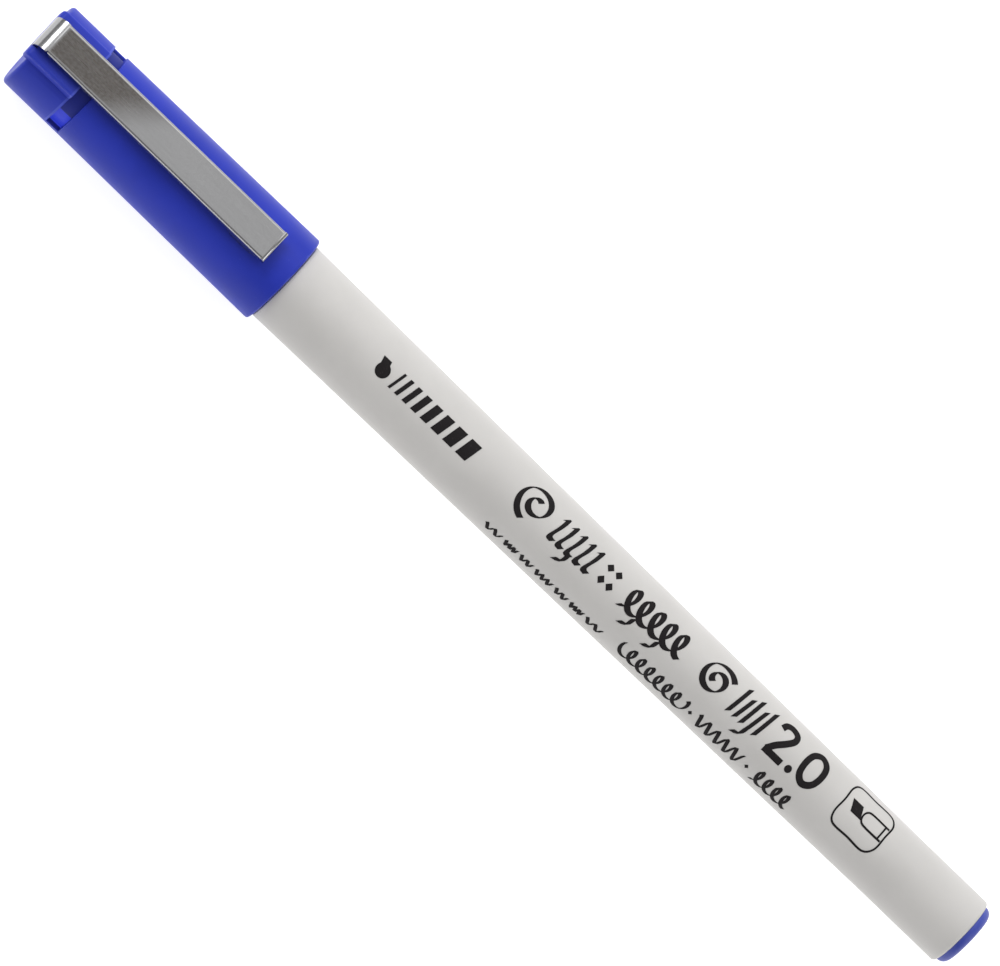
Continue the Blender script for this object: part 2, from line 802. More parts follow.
@dataclass
class Finishes:
    """Every material of the pen, made once."""

    barrel: bpy.types.Material = field(default_factory=lambda: MouldedPlastic(
        "barrel_satin_grey", colour(0.600, 0.586, 0.569), 0.52, pale=colour(0.70, 0.69, 0.68),
        tone_depth=0.025, grain_scale=7000.0, edge_paleness=0.2).make())
    cap: bpy.types.Material = field(default_factory=lambda: MouldedPlastic(
        "cap_deep_blue", colour(0.020, 0.038, 0.445), 0.46, pale=colour(0.12, 0.16, 0.7),
        tone_depth=0.06, edge_paleness=0.3, gloss=0.22).make())
    crown: bpy.types.Material = field(default_factory=lambda: VentedPlastic(
        "crown_deep_blue", colour(0.020, 0.038, 0.445), 0.46, pale=colour(0.12, 0.16, 0.7),
        tone_depth=0.06, edge_paleness=0.15, gloss=0.22).make())
    plug: bpy.types.Material = field(default_factory=lambda: MouldedPlastic(
        "plug_blue", colour(0.032, 0.054, 0.367), 0.46, pale=colour(0.16, 0.22, 0.75),
        tone_depth=0.08, edge_paleness=0.4).make())
    liner: bpy.types.Material = field(default_factory=lambda: MouldedPlastic(
        "liner_bright_blue", colour(0.032, 0.048, 0.657), 0.34, pale=colour(0.2, 0.25, 0.85),
        tone_depth=0.06, edge_paleness=0.3).make())
    holder: bpy.types.Material = field(default_factory=lambda: MouldedPlastic(
        "holder_satin_grey", colour(0.536, 0.525, 0.515), 0.42, pale=colour(0.66, 0.66, 0.65),
        tone_depth=0.03, edge_paleness=0.2).make())
    steel: bpy.types.Material = field(default_factory=lambda: PlatedSteel(
        "clip_plated_steel", colour(0.37, 0.37, 0.375), 0.2).make())
    ink: bpy.types.Material = field(default_factory=lambda: PrintInk(
        "print_black", colour(0.011, 0.009, 0.010), 0.75).make())
    nib: bpy.types.Material = field(default_factory=lambda: BondedFibre(
        "nib_inked_fibre", colour(0.012, 0.018, 0.09), 0.75).make())
    core: bpy.types.Material = field(default_factory=lambda: BondedFibre(
        "reservoir_fibre", colour(0.02, 0.03, 0.16), 0.85).make())
    film: bpy.types.Material = field(default_factory=lambda: MouldedPlastic(
        "reservoir_film", colour(0.63, 0.64, 0.69), 0.22, pale=colour(0.8, 0.8, 0.85),
        tone_depth=0.05, grain_depth=0.001, edge_paleness=0.2).make())


# ------------------------------------------------------------------ the pen's body


@dataclass
class PenBody:
    """The writing end and the barrel: everything that stays in the hand when the cap is off."""

    finishes: Finishes
    shoulder: float = 36.9
    shoulder_radius: float = 4.935
    taper_end: float = 126.5
    tail: float = 136.95
    tail_radius: float = 4.22
    neck: float = 30.5
    neck_radius: float = 4.62
    socket_end: float = 38.7
    socket_radius: float = 3.70
    bore_front: float = 3.52
    bore_tail: float = 3.40
    rib_reach: float = 3.12
    rib_count: int = 4
    rib_half_angle: float = 4.6
    rib_stations: Point2 = (41.0, 127.0)
    nib_width: float = 2.0
    nib_thickness: float = 1.5
    nib_edge: float = 0.45
    nib_edge_share: float = 0.97
    nib_round: float = 0.10
    nib_tip: float = 14.6
    nib_bevel: float = 17.4
    nib_tail: float = 33.0
    plug_start: float = 129.6
    plug_end: float = 138.0
    plug_radius: float = 3.39
    plug_hollow: float = 2.50
    plug_floor: float = 136.0
    plug_dimple: float = 0.4
    flange_start: float = 136.97
    flange_radius: float = 3.80
    flange_round: float = 0.95
    tail_round: float = 0.45
    nose: Point2 = (18.0, 1.85)
    nose_foot: Point2 = (21.4, 3.20)
    land: Point2 = (21.45, 24.0)
    land_radius: float = 3.42
    groove: Point2 = (24.1, 24.6)
    groove_radius: float = 3.30
    grip_radius: float = 4.50
    bead: tuple[float, float, float, float] = (26.5, 26.75, 27.65, 27.9)
    bead_radius: float = 4.63
    spigot_end: float = 38.6
    spigot_radius: float = 3.69
    nib_hole: float = 1.27
    chamber_start: float = 26.0
    chamber_radius: float = 3.12

    def barrel_radius(self, station: float) -> float:
        """Outside radius of the barrel at a station behind the shoulder."""
        share = (station - self.shoulder) / (self.taper_end - self.shoulder)
        share = min(1.0, max(0.0, share))
        return self.shoulder_radius + (self.tail_radius - self.shoulder_radius) * share

    def bore_radius(self, station: float) -> float:
        """Radius of the bore, which narrows towards the tail."""
        share = (station - self.socket_end) / (self.tail - self.socket_end)
        return self.bore_front + (self.bore_tail - self.bore_front) * share

    def make_barrel(self) -> None:
        """Turns the barrel with its neck, shoulder, tail lip and ribbed bore."""
        first_rib, last_rib = self.rib_stations
        barrel = Bench.turn("barrel_tube", [
            Corner(self.neck, self.socket_radius),
            Corner(self.neck, self.neck_radius, 0.2),
            Corner(self.shoulder, self.neck_radius),
            Corner(self.shoulder, self.shoulder_radius, 0.15),
            Corner(self.taper_end, self.tail_radius),
            Corner(self.tail, self.tail_radius, self.tail_round),
            Corner(self.tail, self.bore_tail, 0.08),
            Corner(last_rib, self.bore_radius(last_rib)),
            Corner(first_rib, self.bore_radius(first_rib)),
            Corner(self.socket_end, self.bore_front),
            Corner(self.socket_end, self.socket_radius),
            Corner(self.neck, self.socket_radius),
        ])
        pitch = 360.0 / self.rib_count

        def on_rib(spot: Spot) -> bool:
            """If a face of the bore lies where a rib stands."""
            off = min(abs(spot.angle - turn * pitch) for turn in range(self.rib_count))
            inside = first_rib < spot.station < last_rib and spot.radius < self.socket_radius
            return inside and off < self.rib_half_angle

        with Bench.editing(barrel):
            Bench.pick(barrel, Element.FACE, on_rib)
            bpy.ops.mesh.extrude_region_move()
            shrink = self.rib_reach / self.bore_front
            bpy.ops.transform.resize(value=(1.0, shrink, shrink), center_override=PEN.at(0.0))
        Bench.smooth(barrel)
        dress(barrel, "pen", self.finishes.barrel, ["barrel"])

    def make_tail_plug(self) -> None:
        """Turns the hollow plug that closes the tail."""
        plug = Bench.turn("tail_stopper", [
            Corner(self.plug_floor, self.plug_hollow),
            Corner(self.plug_start, self.plug_hollow, 0.1),
            Corner(self.plug_start, self.plug_radius, 0.25),
            Corner(self.flange_start, self.plug_radius),
            Corner(self.flange_start, self.flange_radius),
            Corner(self.plug_end, self.flange_radius, self.flange_round),
            Corner(self.plug_end, self.plug_dimple),
        ])
        Bench.smooth(plug)
        dress(plug, "pen", self.finishes.plug, ["tail_plug"])

    def make_nib_holder(self) -> None:
        """Turns the front section: nose cone, sealing land, grip, snap bead and spigot."""
        face, face_radius = self.nose
        foot, foot_radius = self.nose_foot
        land_start, land_end = self.land
        groove_start, groove_end = self.groove
        bead_start, bead_rise, bead_fall, bead_end = self.bead
        holder = Bench.turn("nib_holder", [
            Corner(face, self.nib_hole),
            Corner(face, face_radius, 0.15),
            Corner(foot, foot_radius, 0.3),
            Corner(land_start, self.land_radius, 0.02),
            Corner(land_end, self.land_radius, 0.15),
            Corner(groove_start, self.groove_radius, 0.05),
            Corner(groove_end, self.groove_radius, 0.1),
            Corner(groove_end, self.grip_radius, 0.35),
            Corner(bead_start, self.grip_radius),
            Corner(bead_rise, self.bead_radius, 0.1),
            Corner(bead_fall, self.bead_radius, 0.1),
            Corner(bead_end, self.grip_radius),
            Corner(self.neck, self.grip_radius, 0.1),
            Corner(self.neck, self.spigot_radius, 0.05),
            Corner(self.spigot_end, self.spigot_radius, 0.15),
            Corner(self.spigot_end, self.chamber_radius, 0.1),
            Corner(self.chamber_start, self.chamber_radius),
            Corner(self.chamber_start, self.nib_hole),
            Corner(face, self.nib_hole),
        ])
        Bench.smooth(holder)
        dress(holder, "pen", self.finishes.holder, ["front_section"])

    def make_nib(self) -> None:
        """Shapes the chisel nib: a flat bar whose end is drawn out to the writing edge."""
        half_width, half_thickness = self.nib_width / 2, self.nib_thickness / 2
        nib = Bench.block(
            "chisel_nib", Spot(self.nib_bevel, -half_width, -half_thickness),
            Spot(self.nib_tail, half_width, half_thickness))
        thin = self.nib_edge / self.nib_thickness
        with Bench.editing(nib):
            Bench.pick(nib, Element.FACE, lambda spot: spot.station < self.nib_bevel + 0.01)
            bpy.ops.mesh.extrude_region_move(
                TRANSFORM_OT_translate={"value": ((self.nib_tip - self.nib_bevel) * MM, 0.0, 0.0)})
            bpy.ops.transform.resize(
                value=(1.0, self.nib_edge_share, thin), center_override=PEN.at(self.nib_tip))
            Bench.close(nib)
        Bench.soften(nib, self.nib_round, 15.0, 3)
        Bench.smooth(nib, 25.0)
        dress(nib, "pen", self.finishes.nib, ["nib"])

    def dress_reservoir(self) -> None:
        """Gives the fibre rod and its film, which stay as the frame has them, their finishes."""
        for node, finish in (("reservoir_core", self.finishes.core),
                             ("reservoir_wrap", self.finishes.film)):
            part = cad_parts[node]
            part.data.materials.clear()
            part.data.materials.append(finish)
            LOG.info("%s: kept from the frame", node)

    def make(self) -> None:
        """Makes every piece of the pen's body."""
        self.make_barrel()
        self.make_tail_plug()
        self.make_nib_holder()
        self.make_nib()
        self.dress_reservoir()


# ------------------------------------------------------------------ the cap


@dataclass
class Cap:
    """The cap: sleeve, crown with the clip's saddle and vent windows, and the inner cap."""

    finishes: Finishes
    sleeve_start: float = 8.6
    mouth: float = 36.8
    top_radius: float = 5.45
    mouth_radius: float = 5.625
    bore: float = 4.70
    mouth_round: float = 0.30
    crown_face: float = 0.65
    crown_round: float = 0.45
    crown_eye: float = 2.0
    crown_base: float = 6.85
    crown_bore: float = 4.22
    crown_bore_start: float = 4.8
    spigot_radius: float = 4.68
    spigot_end: float = 13.0
    bridge_floor: float = 5.20
    window_angles: Point2 = (54.0, 90.0)
    saddle_half_width: float = 3.2
    saddle_top: float = 6.0
    saddle_under: float = 4.1
    saddle_round: float = 0.65
    saddle_edge_round: float = 0.30
    edge_round: float = 0.07
    past: float = 1.0
    slot_half_width: float = 2.05
    slot_floor: float = 4.5
    slot_roof: float = 5.3
    slot_end: float = 3.55
    notch_end: float = 0.65

    def make_sleeve(self) -> None:
        """Turns the sleeve with its rounded mouth."""
        sleeve = Bench.turn("cap_sleeve", [
            Corner(self.sleeve_start, self.bore),
            Corner(self.sleeve_start, self.top_radius, 0.10),
            Corner(self.mouth, self.mouth_radius, self.mouth_round),
            Corner(self.mouth, self.bore, 0.12),
            Corner(self.sleeve_start, self.bore),
        ])
        Bench.smooth(sleeve)
        dress(sleeve, "cap", self.finishes.cap, ["cap_shell"])

    def make_saddle(self) -> bpy.types.Object:
        """Shapes the saddle that carries the clip, with its rounded end and long edges.

        Returns:
            The saddle, still a piece of its own.
        """
        saddle = Bench.block(
            "saddle", Spot(0.0, -self.saddle_half_width, self.saddle_under),
            Spot(self.crown_base, self.saddle_half_width, self.saddle_top))
        with Bench.editing(saddle):
            Bench.pick(saddle, Element.EDGE, lambda spot: (
                spot.station < 0.01 and spot.up > self.saddle_top - 0.1))
            bpy.ops.mesh.bevel(offset=self.saddle_round * MM, segments=8)
            Bench.pick(saddle, Element.EDGE, lambda spot: (
                abs(spot.across) > self.saddle_half_width - 0.01
                and spot.up > self.saddle_under + 0.05 and spot.station < self.crown_base - 0.05))
            bpy.ops.mesh.bevel(offset=self.saddle_edge_round * MM, segments=4)
            Bench.close(saddle)
        return saddle

    def make_crown(self) -> None:
        """Turns the crown, adds the saddle and cuts the vent windows and the clip's slot."""
        crown = Bench.turn("cap_end", [
            Corner(self.crown_face, self.crown_eye),
            Corner(self.crown_face, self.top_radius, self.crown_round),
            Corner(self.sleeve_start, self.top_radius),
            Corner(self.sleeve_start, self.spigot_radius),
            Corner(self.spigot_end, self.spigot_radius, 0.3),
            Corner(self.spigot_end, self.crown_bore),
            Corner(self.crown_bore_start, self.crown_bore),
            Corner(self.crown_bore_start, self.crown_eye),
        ])
        Bench.combine(crown, self.make_saddle(), "UNION")
        near, far = self.window_angles
        band = (self.crown_base, self.sleeve_start + 0.3)
        outside = self.top_radius + self.past
        cutters = [
            Bench.sector("bridge_cut", band, (self.bridge_floor, outside), (-near, near)),
            Bench.sector("window_cut_one", band, (self.bore, outside), (near - 0.01, far)),
            Bench.sector("window_cut_two", band, (self.bore, outside), (-far, -near + 0.01)),
            Bench.block("slot_cut", Spot(-self.past, -self.slot_half_width, self.slot_floor),
                        Spot(self.slot_end, self.slot_half_width, self.slot_roof)),
            Bench.block("notch_cut", Spot(-self.past, -self.slot_half_width, self.slot_floor),
                        Spot(self.notch_end, self.slot_half_width, self.saddle_top + self.past)),
        ]
        for cutter in cutters:
            Bench.combine(crown, cutter, "DIFFERENCE")
        Bench.merge_flats(crown)
        Bench.soften(crown, self.edge_round)
        Bench.smooth(crown)
        Bench.keep_flats(crown)
        dress(crown, "cap", self.finishes.crown, ["cap_crown"])

    def dress_inner_cap(self) -> None:
        """Gives the inner cap, which stays as the frame has it, its finish."""
        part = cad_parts["inner_cap"]
        part.data.materials.clear()
        part.data.materials.append(self.finishes.liner)
        LOG.info("inner_cap: kept from the frame")

    def make(self) -> None:
        """Makes every piece of the cap."""
        self.make_sleeve()
        self.make_crown()
        self.dress_inner_cap()


@dataclass
class PocketClip:
    """The stamped steel clip: a channel that is bent over the crown into its slot."""

    finishes: Finishes
    half_width: float = 2.0
    sheet: float = 0.40
    top: float = 7.40
    bend: float = 1.60
    root_bend: float = 0.55
    tongue_under: float = 4.55
    tongue_end: float = 3.40
    end: float = 33.45
    end_round: float = 0.50
    flange: float = 0.95
    foot_stations: tuple[float, float, float, float] = (28.0, 28.95, 31.70, 32.65)
    foot_depth: float = 1.90
    shoulder_round: float = 0.30
    rim_round: float = 0.10
    flange_slope: float = 0.5
    bend_steps: int = 14
    root_steps: int = 6
    end_steps: int = 8

    def bend_edge(self, clip: bpy.types.Object, at: Point2, centre: Point2, angle: float,
                  steps: int) -> None:
        """Bends the sheet onward from one of its end edges.

        Args:
            clip: The clip, open in edit mode.
            at: Station and height of the edge.
            centre: Station and height of the bend's centre.
            angle: The turn in degrees.
            steps: Faces round the bend.
        """
        Bench.pick(clip, Element.EDGE, lambda spot: (
            abs(spot.station - at[0]) < 0.001 and abs(spot.up - at[1]) < 0.001))
        bpy.ops.mesh.spin(steps=steps, angle=math.radians(angle),
                          center=PEN.at(centre[0], 0.0, centre[1]), axis=(0.0, 1.0, 0.0))

    def extend_edge(self, clip: bpy.types.Object, at: Point2, to: Point2) -> None:
        """Carries the sheet straight on from one of its end edges.

        Args:
            clip: The clip, open in edit mode.
            at: Station and height of the edge.
            to: Station and height that it is carried to.
        """
        Bench.pick(clip, Element.EDGE, lambda spot: (
            abs(spot.station - at[0]) < 0.001 and abs(spot.up - at[1]) < 0.001))
        step = ((to[0] - at[0]) * MM, 0.0, (to[1] - at[1]) * MM)
        bpy.ops.mesh.extrude_edges_move(TRANSFORM_OT_translate={"value": step})

    def make(self) -> None:
        """Folds the clip from flat sheet."""
        front, back = self.bend, self.end - self.end_round
        middle = PEN.at((front + back) / 2, 0.0, self.top)
        Bench.clear()
        bpy.ops.mesh.primitive_plane_add(size=1.0, location=middle)
        bpy.context.object.scale = ((back - front) * MM, 2 * self.half_width * MM, 1.0)
        clip = Bench.started("pocket_clip_channel")
        root_top = self.tongue_under + self.root_bend
        with Bench.editing(clip):
            for station in self.foot_stations:
                bpy.ops.mesh.select_all(action="SELECT")
                bpy.ops.mesh.bisect(plane_co=PEN.at(station), plane_no=(1.0, 0.0, 0.0))
            self.bend_edge(clip, (front, self.top), (front, self.top - self.bend), 90.0,
                           self.bend_steps)
            self.extend_edge(clip, (0.0, self.top - self.bend), (0.0, root_top))
            self.bend_edge(clip, (0.0, root_top), (self.root_bend, root_top), 90.0, self.root_steps)
            self.extend_edge(clip, (self.root_bend, self.tongue_under),
                             (self.tongue_end, self.tongue_under))
            self.bend_edge(clip, (back, self.top), (back, self.top - self.end_round), -90.0,
                           self.end_steps)
            self.extend_edge(clip, (self.end, self.top - self.end_round),
                             (self.end, self.top - self.flange))
            self.fold_flanges(clip, front, back)
            Bench.close(clip)
        self.thicken(clip)
        Bench.smooth(clip, 40.0)
        Bench.keep_flats(clip)
        dress(clip, "pocket_clip", self.finishes.steel, ["clip"])

    def fold_flanges(self, clip: bpy.types.Object, front: float, back: float) -> None:
        """Folds both long edges down and draws the foot out of them.

        Args:
            clip: The clip, open in edit mode.
            front: Station where the flanges start.
            back: Station where the rounded end starts.
        """
        Bench.pick(clip, Element.EDGE, lambda spot: (
            abs(spot.across) > self.half_width - 0.01 and spot.up > self.top - 0.001
            and front < spot.station < back))
        bpy.ops.mesh.extrude_edges_move(
            TRANSFORM_OT_translate={"value": (0.0, 0.0, -self.flange * MM)})
        hem = self.top - self.flange
        foot_start, foot_full, foot_ease, foot_end = self.foot_stations
        Bench.pick(clip, Element.VERT, lambda spot: (
            spot.up < hem + 0.001 and abs(spot.across) > self.half_width - 0.01
            and foot_full - 0.01 < spot.station < foot_ease + 0.01))
        bpy.ops.transform.translate(value=(0.0, 0.0, (self.flange - self.foot_depth) * MM))
        Bench.pick(clip, Element.VERT, lambda spot: (
            spot.up < hem + 0.001 and spot.station < front + 0.01 and spot.station > 1.0))
        bpy.ops.transform.translate(value=(self.flange_slope * MM, 0.0, 0.0))

    def thicken(self, clip: bpy.types.Object) -> None:
        """Gives the sheet its thickness and rounds its shoulders and rims."""
        Bench.take(clip)
        wall = clip.modifiers.new("sheet", "SOLIDIFY")
        wall.thickness = self.sheet * MM
        wall.offset = -1.0
        wall.use_even_offset = True
        wall.use_quality_normals = True
        bpy.ops.object.modifier_apply(modifier=wall.name)
        with Bench.editing(clip):
            Bench.pick(clip, Element.EDGE, lambda spot: (
                abs(spot.across) > self.half_width - 0.001 and spot.up > self.top - 0.001
                and spot.station > self.bend))
            bpy.ops.mesh.bevel(offset=self.shoulder_round * MM, segments=5)
            Bench.close(clip)
        Bench.soften(clip, self.rim_round, 50.0)


# ------------------------------------------------------------------ print


PRINT_LIFT = 0.020
PRINT_FILM = 0.012
STROKE_STEP = 0.001
TRAIL_STEP = 0.22
KNOT_STEPS = 12
ROLL_STEPS = 40
SPIRAL_STEP = 8.0
NIB_CELLS = 3


class Trail:
    """Ways for a pen to go on a flat sheet: lists of points in millimetres."""

    @staticmethod
    def even(points: Sequence[Vector]) -> list[Vector]:
        """Spaces the points of a way evenly, a short step apart."""
        lengths = [0.0]
        for here, there in zip(points, points[1:]):
            lengths.append(lengths[-1] + (there - here).length)
        count = max(2, math.ceil(lengths[-1] / TRAIL_STEP))
        spaced, index = [], 0
        for step in range(count + 1):
            goal = lengths[-1] * step / count
            while index < len(points) - 2 and lengths[index + 1] < goal:
                index += 1
            span = lengths[index + 1] - lengths[index]
            share = (goal - lengths[index]) / span if span else 0.0
            spaced.append(points[index].lerp(points[index + 1], min(1.0, share)))
        return spaced

    @staticmethod
    def through(*knots: Point2, closed: bool = False) -> list[Vector]:
        """Runs smoothly through knots.

        Args:
            knots: The knots, in order.
            closed: If the way comes back to its first knot.

        Returns:
            The evenly spaced way.
        """
        marks = [Vector(knot) for knot in knots]
        if closed:
            marks = [marks[-1], *marks, marks[0], marks[1]]
        else:
            marks = [2 * marks[0] - marks[1], *marks, 2 * marks[-1] - marks[-2]]
        points = []
        for before, here, there, after in zip(marks, marks[1:], marks[2:], marks[3:]):
            for step in range(KNOT_STEPS):
                share = step / KNOT_STEPS
                points.append(0.5 * (
                    2 * here + (there - before) * share
                    + (2 * before - 5 * here + 4 * there - after) * share * share
                    + (3 * here - before - 3 * there + after) * share ** 3))
        points.append(marks[-2].copy())
        return Trail.even(points)

    @staticmethod
    def roll(start: Point2, length: float, reach: Point2, turns: float,
             phase: float = 0.0) -> list[Vector]:
        """Rolls along like the rim of a wheel: loops, arches or a wave.

        Args:
            start: Where it starts.
            length: How far it goes along.
            reach: How far it swings along and across; no swing along gives a plain wave.
            turns: How many turns it makes.
            phase: Where in the turn it starts, in degrees.

        Returns:
            The evenly spaced way.
        """
        count = math.ceil(turns * ROLL_STEPS)
        points = []
        for step in range(count + 1):
            share = step / count
            angle = math.radians(phase) + 2 * math.pi * turns * share
            points.append(Vector((start[0] + length * share - reach[0] * math.sin(angle),
                                  start[1] + reach[1] * math.cos(angle))))
        return Trail.even(points)

    @staticmethod
    def spiral(centre: Point2, radii: Point2, angles: Point2, squash: float = 1.0) -> list[Vector]:
        """Winds round a centre.

        Args:
            centre: The centre.
            radii: The first and last radius.
            angles: The first and last angle in degrees.
            squash: Height as a share of width.

        Returns:
            The evenly spaced way.
        """
        count = math.ceil(abs(angles[1] - angles[0]) / SPIRAL_STEP)
        points = []
        for step in range(count + 1):
            share = step / count
            angle = math.radians(angles[0] + (angles[1] - angles[0]) * share)
            radius = radii[0] + (radii[1] - radii[0]) * share
            points.append(Vector((centre[0] + radius * math.cos(angle),
                                  centre[1] + squash * radius * math.sin(angle))))
        return Trail.even(points)


@dataclass(frozen=True)
class Nib:
    """A broad-edged nib: its edge's width and angle and the thinnest line it can draw."""

    width: float
    angle: float = 40.0
    hair: float = 0.14

    def half_mark(self, way: Vector) -> Vector:
        """Half of the mark, from its middle to its left edge.

        Args:
            way: The way the nib moves, of length one.

        Returns:
            The half mark in millimetres.
        """
        angle = math.radians(self.angle)
        edge = Vector((math.cos(angle), math.sin(angle))) * self.width / 2
        sideways = way.x * edge.y - way.y * edge.x
        breadth = math.hypot(sideways, self.hair / 2)
        return Vector((-way.y, way.x)) * breadth + way * way.dot(edge) * sideways / breadth


@dataclass
class Sheet:
    """A print that is still flat; it is drawn stroke by stroke and then wrapped on the barrel."""

    name: str
    marks: list[bpy.types.Object] = field(default_factory=list)

    def keep(self) -> bpy.types.Object:
        """Keeps the shape that was just added as one of the print's marks."""
        mark = Bench.started(f"{self.name}_{len(self.marks)}")
        self.marks.append(mark)
        return mark

    def stroke(self, nib: Nib, trail: Sequence[Vector], closed: bool = False) -> None:
        """Draws one stroke.

        Args:
            nib: The nib that draws it.
            trail: The way that the nib's middle goes.
            closed: If the way ends where it starts.
        """
        Bench.clear()
        bpy.ops.mesh.primitive_grid_add(
            x_subdivisions=len(trail) - 1, y_subdivisions=NIB_CELLS, size=2.0)
        mark = self.keep()
        last = len(trail) - 1
        for vertex in mark.data.vertices:
            index = round((vertex.co.x + 1) / 2 * last)
            before, after = trail[max(index - 1, 0)], trail[min(index + 1, last)]
            if closed and index in (0, last):
                before, after = trail[last - 1], trail[1]
            half = nib.half_mark((after - before).normalized())
            point = trail[index] + half * vertex.co.y
            vertex.co = (point.x, point.y, len(self.marks) * STROKE_STEP)

    def dot(self, centre: Point2, radius: float, corners: int = 28) -> None:
        """Fills a dot, or a diamond when it has four corners."""
        Bench.clear()
        bpy.ops.mesh.primitive_circle_add(
            vertices=corners, radius=radius, fill_type="TRIFAN",
            location=(centre[0], centre[1], (len(self.marks) + 1) * STROKE_STEP))
        mark = self.keep()
        with Bench.editing(mark):
            bpy.ops.mesh.select_all(action="SELECT")
            bpy.ops.mesh.subdivide(number_cuts=1)

    def wrap(self, station: float, angle: float, radius_at: Callable[[float], float],
             tall: float = 1.0) -> bpy.types.Object:
        """Wraps the print on the barrel and gives its film a thickness.

        Args:
            station: Where the sheet's left edge comes.
            angle: Degrees round the axis from the clip's side for the sheet's middle line.
            radius_at: Gives the barrel's radius at a station.
            tall: How much the sheet is stretched across the pen.

        Returns:
            The print.
        """
        Bench.take(*self.marks)
        bpy.ops.object.join()
        piece = self.marks[0]
        piece.name = piece.data.name = self.name
        for vertex in piece.data.vertices:
            place = station + vertex.co.x
            radius = radius_at(place)
            turn = math.radians(angle) + tall * vertex.co.y / radius
            outside = radius + PRINT_LIFT + vertex.co.z
            vertex.co = PEN.at(place, outside * math.sin(turn), outside * math.cos(turn))
        film = piece.modifiers.new("film", "SOLIDIFY")
        film.thickness = PRINT_FILM * MM
        film.offset = -1.0
        bpy.ops.object.modifier_apply(modifier=film.name)
        Bench.smooth(piece, 50.0)
        return piece


